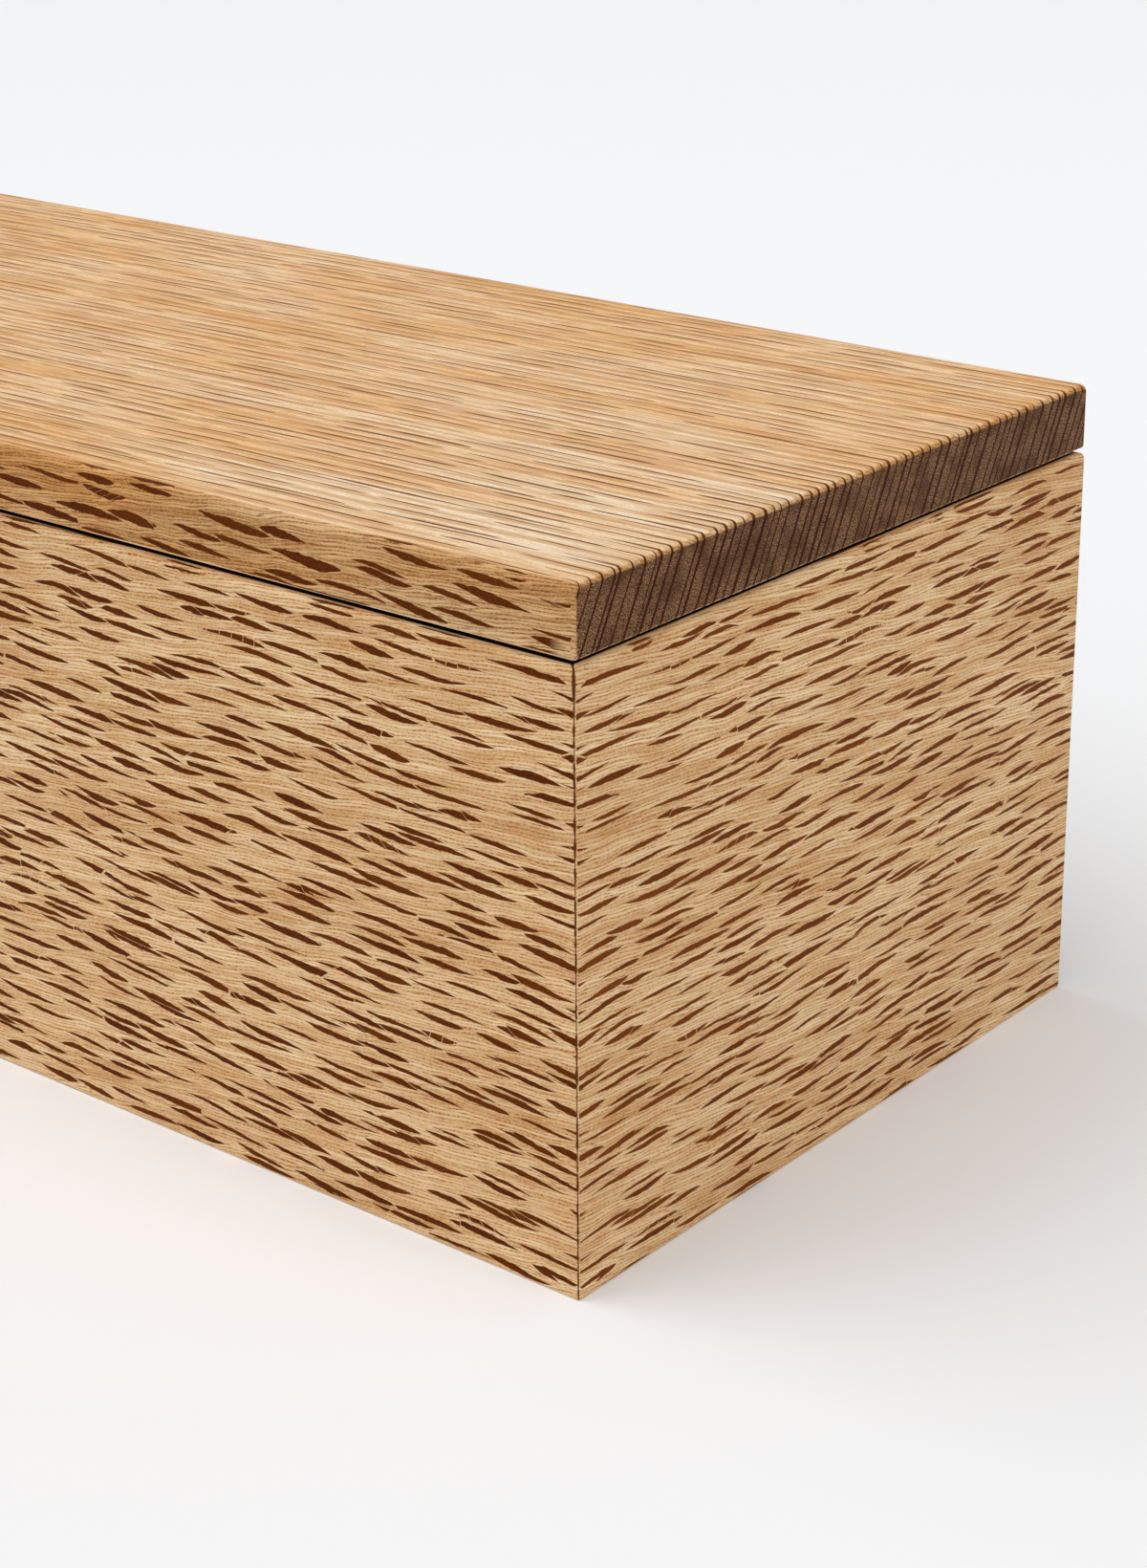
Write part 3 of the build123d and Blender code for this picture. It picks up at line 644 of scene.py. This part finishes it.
for node_name, (along, inward, shift, look, mitred) in BOARDS.items():
    place = board_place(along, inward, shift)
    end_rows = node_name == "lid_board"
    material = lacewood("oiled_lacewood_" + node_name, place, rays, fibres, look, mitred, end_rows)
    for slot in nodes[node_name].material_slots:
        slot.material = material

# --------------------------------------------------------------------------------------------------- screws

SCREW_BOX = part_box("lid_screws")  # from the heads at the bottom to the tips
HEAD_RADIUS = 3.0 * MM
SCREW_SIZES = {
    "Head Radius": HEAD_RADIUS,
    "Shank Radius": 1.5 * MM,
    "Core Radius": 0.95 * MM,
    "Thread Radius": 1.28 * MM,
    "Pitch": 1.1 * MM,
    "Length": SCREW_BOX[1].z - SCREW_BOX[0].z,
    "Bite": 6.0 * MM,
    "Tip": 2.0 * MM,
    "Slot Width": 0.8 * MM,
    "Slot Depth": 0.7 * MM,
    "Row Spacing": SCREW_BOX[1].y - HEAD_RADIUS,
}
SCREW_SUMS = {
    # name: two sizes or numbers, and what is done with them; a length starts a little inside the one before
    "Neck": ("Head Radius", "Shank Radius", "SUBTRACT"),
    "Shank Start": ("Neck", 0.9, "MULTIPLY"),
    "Thread Start": ("Length", "Bite", "SUBTRACT"),
    "Core Start": ("Thread Start", 0.95, "MULTIPLY"),
    "Tip Start": ("Length", "Tip", "SUBTRACT"),
    "Slot Length": ("Head Radius", 3.0, "MULTIPLY"),
    "Slot Height": ("Slot Depth", 2.0, "MULTIPLY"),
    "Ridge": ("Thread Radius", "Core Radius", "SUBTRACT"),
    "Ridge Radius": ("Ridge", 0.5, "MULTIPLY"),
    "Both Radii": ("Thread Radius", "Core Radius", "ADD"),
    "Thread Middle": ("Both Radii", 0.5, "MULTIPLY"),
    "Wound": ("Bite", "Tip", "SUBTRACT"),
    "Turns": ("Wound", "Pitch", "DIVIDE"),
    "Row Back": (0.0, "Row Spacing", "SUBTRACT"),
}
SCREW_SEED = 7
ROUND = 48  # sides of a turned part
THREAD_ROUND = 24  # steps in one turn of the thread
LATHE_RINGS = 9.0  # per mm
RING_DEPTH = 0.02 * MM
RING_RISE = 0.3  # of the height that counts beside the radius, so that rings run along the shank too
DULL_PATCHES = 0.7  # per mm


def turned_brass():
    """Brass turned on a lathe: fine rings round each screw, a low shine, and the brown of age in places."""
    material = bpy.data.materials.new("turned_brass")
    tree = cleared(material)
    place = add(tree, "ShaderNodeAttribute", attribute_name="screw_place").node.outputs["Vector"]
    place = add(tree, "ShaderNodeVectorMath", [place, (PER_MM, PER_MM, PER_MM)], operation="MULTIPLY")
    flat = add(tree, "ShaderNodeVectorMath", [place, (1.0, 1.0, RING_RISE)], operation="MULTIPLY")
    out = add(tree, "ShaderNodeVectorMath", [flat], operation="LENGTH").node.outputs["Value"]
    rings = {"W": out, "Scale": LATHE_RINGS, "Detail": 2.0}
    rings = add(tree, "ShaderNodeTexNoise", rings, noise_dimensions="1D")
    patch = add(tree, "ShaderNodeTexNoise", {"Vector": place, "Scale": DULL_PATCHES, "Detail": 3.0})
    dull = add(tree, "ShaderNodeMapRange", [patch, 0.42, 0.68, 0.0, 1.0])
    colour = {SHARE: dull, UNDER: linear("c9a055"), OVER: linear("8f6a35")}
    colour = add(tree, "ShaderNodeMix", colour, data_type="RGBA")
    rough = add(tree, "ShaderNodeMapRange", [patch, 0.3, 0.7, 0.26, 0.44])
    bump = add(tree, "ShaderNodeBump", {"Strength": 0.5, "Distance": RING_DEPTH, "Height": rings})
    shader = {"Base Color": colour, "Metallic": 1.0, "Roughness": rough, "Normal": bump}
    add(tree, "ShaderNodeOutputMaterial", [add(tree, "ShaderNodeBsdfPrincipled", shader)])
    return material


def screw_tree():
    """Makes one slotted countersunk screw from its sizes and sets three of them across each batten."""
    sizes = {name: "Float" for name in SCREW_SIZES}
    sockets = {"Battens": "Geometry", **sizes, "Seed": "Int", "Material": "Material"}
    tree, given = new_group("countersunk_screws", sockets, {"Screws": "Geometry"}, "GeometryNodeTree")
    size = {name: given[name] for name in SCREW_SIZES}
    for name, (first, second, operation) in SCREW_SUMS.items():
        both = [size.get(value, value) for value in (first, second)]
        size[name] = add(tree, "ShaderNodeMath", both, operation=operation)

    def turned(lower, upper, start, end):
        """A turned length of the screw, from its lower radius to its upper one."""
        height = add(tree, "ShaderNodeMath", [end, start], operation="SUBTRACT")
        cone = {"Vertices": ROUND, "Radius Bottom": lower, "Radius Top": upper, "Depth": height}
        cone = add(tree, "GeometryNodeMeshCone", cone)
        rise = add(tree, "ShaderNodeCombineXYZ", [0.0, 0.0, start])
        return add(tree, "GeometryNodeTransform", {"Geometry": cone, "Translation": rise})

    head, shank, core = size["Head Radius"], size["Shank Radius"], size["Core Radius"]
    slot = add(tree, "ShaderNodeCombineXYZ", [size["Slot Length"], size["Slot Width"], size["Slot Height"]])
    slot = add(tree, "GeometryNodeMeshCube", {"Size": slot})
    cut = {"Mesh 1": turned(head, shank, 0.0, size["Neck"]), "Mesh 2": slot}
    lengths = [
        add(tree, "GeometryNodeMeshBoolean", cut, operation="DIFFERENCE"),
        turned(shank, shank, size["Shank Start"], size["Thread Start"]),
        turned(core, core, size["Core Start"], size["Tip Start"]),
        turned(core, 0.0, size["Tip Start"], size["Length"]),
    ]
    # the thread: a three-sided ridge wound round the core
    helix = {"Resolution": THREAD_ROUND, "Rotations": size["Turns"], "Height": size["Wound"]}
    helix.update({"Start Radius": size["Thread Middle"], "End Radius": size["Thread Middle"]})
    helix = add(tree, "GeometryNodeCurveSpiral", helix)
    profile = {"Resolution": 3, "Radius": size["Ridge Radius"]}
    profile = add(tree, "GeometryNodeCurvePrimitiveCircle", profile)
    thread = {"Curve": helix, "Profile Curve": profile, "Fill Caps": True}
    thread = add(tree, "GeometryNodeCurveToMesh", thread)
    rise = add(tree, "ShaderNodeCombineXYZ", [0.0, 0.0, size["Thread Start"]])
    lengths.append(add(tree, "GeometryNodeTransform", {"Geometry": thread, "Translation": rise}))
    screw = add(tree, "GeometryNodeJoinGeometry").node
    for length in lengths:
        tree.links.new(length, screw.inputs[0])
    # each point keeps its place on its own screw, for the rings that the lathe leaves
    position = add(tree, "GeometryNodeInputPosition")
    place = {"Geometry": screw.outputs[0], "Name": "screw_place", "Value": position}
    screw = add(tree, "GeometryNodeStoreNamedAttribute", place, data_type="FLOAT_VECTOR", domain="POINT")
    # three across each batten, with their slots turned anyhow
    back = add(tree, "ShaderNodeCombineXYZ", [0.0, size["Row Back"], 0.0])
    step = add(tree, "ShaderNodeCombineXYZ", [0.0, size["Row Spacing"], 0.0])
    row = add(tree, "GeometryNodeMeshLine", {"Count": 3, "Start Location": back, "Offset": step})
    points = add(tree, "GeometryNodeInstanceOnPoints", {"Points": given["Battens"], "Instance": row})
    points = add(tree, "GeometryNodeRealizeInstances", [points])
    turn = {2: -math.pi, 3: math.pi, "Seed": given["Seed"]}
    turn = add(tree, "FunctionNodeRandomValue", turn, data_type="FLOAT").node.outputs[1]
    turn = add(tree, "ShaderNodeCombineXYZ", [0.0, 0.0, turn])
    screws = {"Points": points, "Instance": screw, "Rotation": turn}
    screws = add(tree, "GeometryNodeInstanceOnPoints", screws)
    screws = add(tree, "GeometryNodeRealizeInstances", [screws])
    screws = add(tree, "GeometryNodeSetMaterial", {"Geometry": screws, "Material": given["Material"]})
    add(tree, "NodeGroupOutput", [screws])
    return tree


def grow(name, points, tree, values):
    """Runs a Geometry Nodes tree on some points and gives the result as a plain object."""
    mesh = bpy.data.meshes.new(name)
    mesh.from_pydata(points, [], [])
    piece = put(name, mesh)
    modifier = piece.modifiers.new("grow", "NODES")
    modifier.node_group = tree
    for socket in tree.interface.items_tree:
        if socket.in_out == "INPUT" and socket.name in values:
            modifier[socket.identifier] = values[socket.name]
    grown = bpy.data.meshes.new_from_object(piece.evaluated_get(bpy.context.evaluated_depsgraph_get()))
    piece.modifiers.clear()
    for index in reversed([i for i, material in enumerate(grown.materials) if material is None]):
        grown.materials.pop(index=index)
    piece.data = grown
    return piece


def screw_heads():
    """Where the middle screw of each batten starts."""
    middles = [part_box("lid_batten_" + name) for name in ("closed_end", "middle", "open_end")]
    return [((low.x + high.x) / 2, 0.0, SCREW_BOX[0].z) for low, high in middles]


values = {**SCREW_SIZES, "Seed": SCREW_SEED, "Material": turned_brass()}
screws = grow("brass_screws", screw_heads(), screw_tree(), values)
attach(screws, "lid")
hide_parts("lid_screws")

# ------------------------------------------------------------------------------------------ floor and light

FLOOR_REACH = 12.0  # m
FLOOR_COLOUR = "f5f5f6"
# greyer paper far from the box: painted shade for the light falling off
FLOOR_FAR_SHADE = "edecec"
FLOOR_FADE = 0.4, 2.0  # m from the box, over which the paper greys as painted shade for the light falling off
SKY = 0.44
SKY_COLOUR = (0.95, 0.98, 1.0, 1.0)  # a little cooler than the lamps
BACKDROP = 0.885  # linear, a pale grey just under the floor's


def floor():
    """Matt white paper, pale, greyed away from the box by painted shade where the light falls off."""
    mesh = bpy.data.meshes.new("paper_floor")
    shape = bmesh.new()
    bmesh.ops.create_circle(shape, cap_ends=True, segments=96, radius=FLOOR_REACH)
    shape.to_mesh(mesh)
    shape.free()
    sheet = put("paper_floor", mesh)
    material = bpy.data.materials.new("matt_white_paper")
    tree = cleared(material)
    away = add(tree, "ShaderNodeTexCoord").node.outputs["Object"]
    away = add(tree, "ShaderNodeVectorMath", [away], operation="LENGTH").node.outputs["Value"]
    # painted shade: the paper greys with distance from the box
    away = add(tree, "ShaderNodeMapRange", [away, *FLOOR_FADE, 0.0, 1.0])
    tone = {SHARE: away, UNDER: linear(FLOOR_COLOUR), OVER: linear(FLOOR_FAR_SHADE)}
    tone = add(tree, "ShaderNodeMix", tone, data_type="RGBA")
    paper = add(tree, "ShaderNodeBsdfDiffuse", {"Color": tone})
    add(tree, "ShaderNodeOutputMaterial", [paper])
    mesh.materials.append(material)


def sun(name, towards, strength, spread):
    """A wide, soft lamp as if from a large panel; towards is where it stands, seen from the box."""
    lamp = bpy.data.lights.new(name, "SUN")
    lamp.energy = strength
    lamp.angle = math.radians(spread)
    put(name, lamp).rotation_euler = Vector(towards).to_track_quat("Z", "Y").to_euler()


def sky():
    """Even white surroundings, which glossy and clear things see as the pale backdrop."""
    world = bpy.data.worlds.new("white_room")
    bpy.context.scene.world = world
    tree = cleared(world)
    path = add(tree, "ShaderNodeLightPath").node.outputs
    seen = add(tree, "ShaderNodeMath", [path["Is Camera Ray"], path["Is Glossy Ray"]], operation="MAXIMUM")
    seen = add(tree, "ShaderNodeMath", [seen, path["Is Transmission Ray"]], operation="MAXIMUM")
    level = add(tree, "ShaderNodeMapRange", [seen, 0.0, 1.0, SKY, BACKDROP])
    light = add(tree, "ShaderNodeBackground", {"Color": SKY_COLOUR, "Strength": level})
    add(tree, "ShaderNodeOutputWorld", [light])


floor()
sky()
sun("left_panel", (-0.66, -0.36, 0.66), 1.16, 62)
sun("overhead_panel", (0.12, -0.35, 0.93), 0.90, 70)
sun("right_fill", (0.9, -0.1, 0.35), 0.70, 60)

# --------------------------------------------------------------------------------------------------- camera

CAMERA_AT = (0.38229, -0.34703, 0.22194)  # m
CAMERA_PITCH = math.radians(19.75)
CAMERA_YAW = math.radians(39.2)
CAMERA_ROLL = math.radians(-0.445)
CAMERA_LENS = 72.31  # mm
CAMERA_FRAME = 36  # mm, the long side of the frame
CAMERA_SHIFT = -0.0732  # of that
CAMERA_NEAR = 0.01  # m, nothing nearer than this is drawn


def camera():
    """A short telephoto view down on the near corner."""
    sin_yaw, cos_yaw = math.sin(CAMERA_YAW), math.cos(CAMERA_YAW)
    level = math.cos(CAMERA_PITCH)
    forward = Vector((-sin_yaw * level, cos_yaw * level, -math.sin(CAMERA_PITCH)))
    right = Vector((cos_yaw, sin_yaw, 0))
    up = right.cross(forward)
    turn = Matrix.Rotation(-CAMERA_ROLL, 3, forward)
    lens = bpy.data.cameras.new("camera")
    lens.sensor_width = CAMERA_FRAME
    lens.lens = CAMERA_LENS
    lens.shift_y = CAMERA_SHIFT
    lens.clip_start = CAMERA_NEAR
    axes = Matrix((turn @ right, turn @ up, -forward)).transposed()
    holder = put("camera", lens)
    holder.matrix_world = Matrix.Translation(CAMERA_AT) @ axes.to_4x4()
    bpy.context.scene.camera = holder


camera()
bpy.context.scene.view_settings.view_transform = "Standard"
